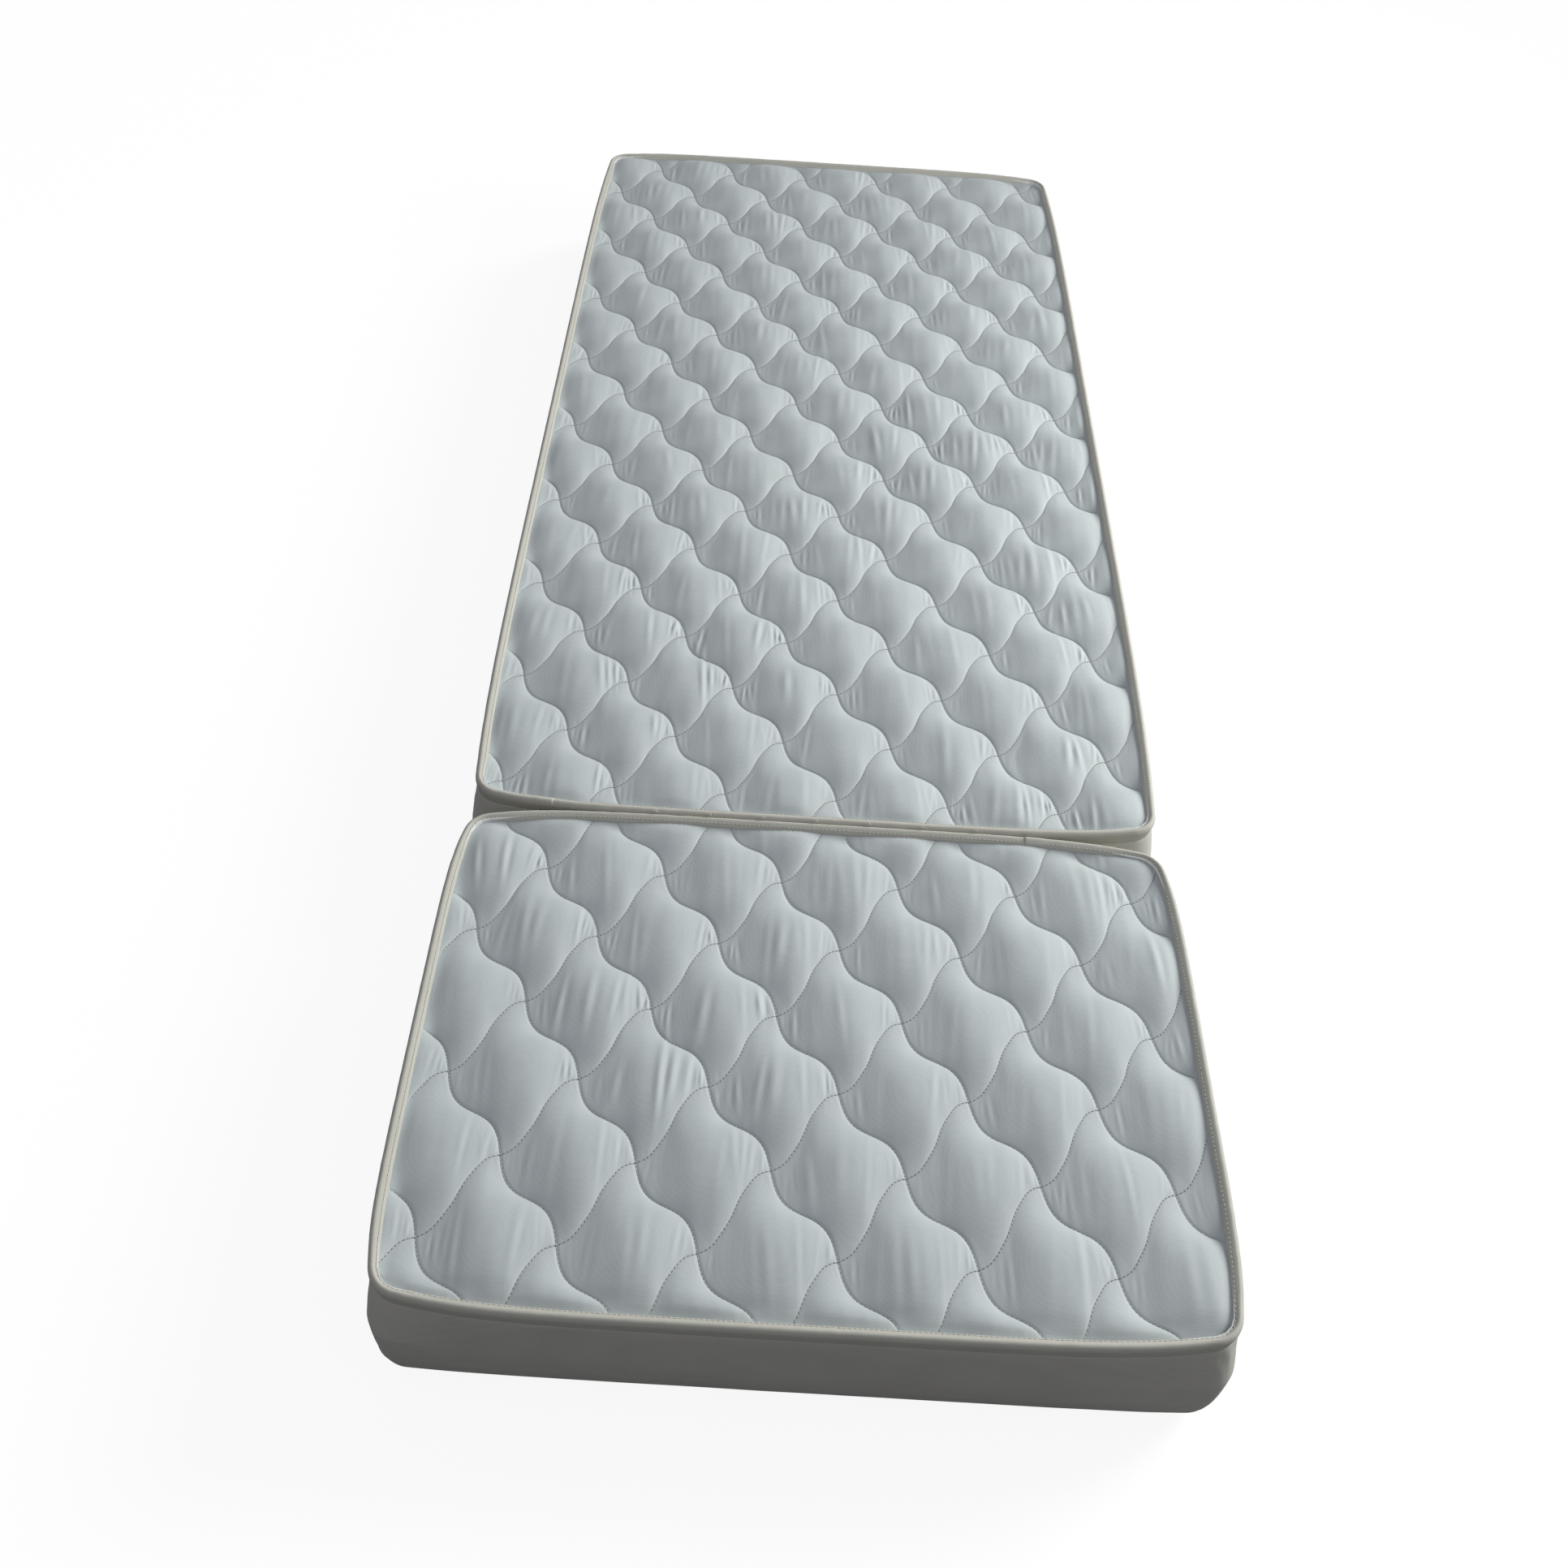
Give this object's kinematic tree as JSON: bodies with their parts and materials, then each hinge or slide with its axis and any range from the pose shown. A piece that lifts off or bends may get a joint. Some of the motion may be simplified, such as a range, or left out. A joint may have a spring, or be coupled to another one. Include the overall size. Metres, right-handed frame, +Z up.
{
  "type": "foam mattress",
  "caption": "Two-section foam mattress for a growing child's bed, with quilted tops, plain borders and taped edges; the short section folds up over the long one.",
  "frame": {"origin": "centre of the whole mattress on the surface it lies on, both sections flat", "axes": "+X across the width, +Y along the length towards the long section, +Z up"},
  "size_m": [0.6, 1.6504, 0.1216],
  "materials": {
    "quilted_cloth": "matte",
    "border_cloth": "matte",
    "binding_tape": "matte",
    "wadding": "matte",
    "backing": "matte",
    "foam": "matte",
    "seam_thread": "matte"
  },
  "bodies": {
    "long_section": {"long_foam_core": "foam", "long_border_ticking": "border_cloth", "long_border_wadding": "wadding", "long_border_backing": "backing", "long_bottom_seam": "seam_thread", "long_bottom_ticking": "border_cloth", "long_bottom_wadding": "wadding", "long_bottom_backing": "backing", "long_top_wadding": "wadding", "long_top_backing": "backing", "long_top_ticking": "quilted_cloth", "long_edge_binding": "binding_tape", "tack_stitch_1": "seam_thread", "tack_stitch_2": "seam_thread", "tack_stitch_3": "seam_thread", "tack_stitch_4": "seam_thread", "tack_stitch_5": "seam_thread", "tack_stitch_6": "seam_thread", "tack_stitch_7": "seam_thread"},
    "short_section": {"short_foam_core": "foam", "short_border_ticking": "border_cloth", "short_border_wadding": "wadding", "short_border_backing": "backing", "short_bottom_seam": "seam_thread", "short_bottom_ticking": "border_cloth", "short_bottom_wadding": "wadding", "short_bottom_backing": "backing", "short_top_wadding": "wadding", "short_top_backing": "backing", "short_top_ticking": "quilted_cloth", "short_edge_binding": "binding_tape"}
  },
  "joints": [
    {"name": "fold", "type": "hinge", "parent": "long_section", "child": "short_section", "pos_m": [0, -0.375, 0.1203], "axis": [-1, 0, 0], "range_deg": [0, 180]}
  ]
}
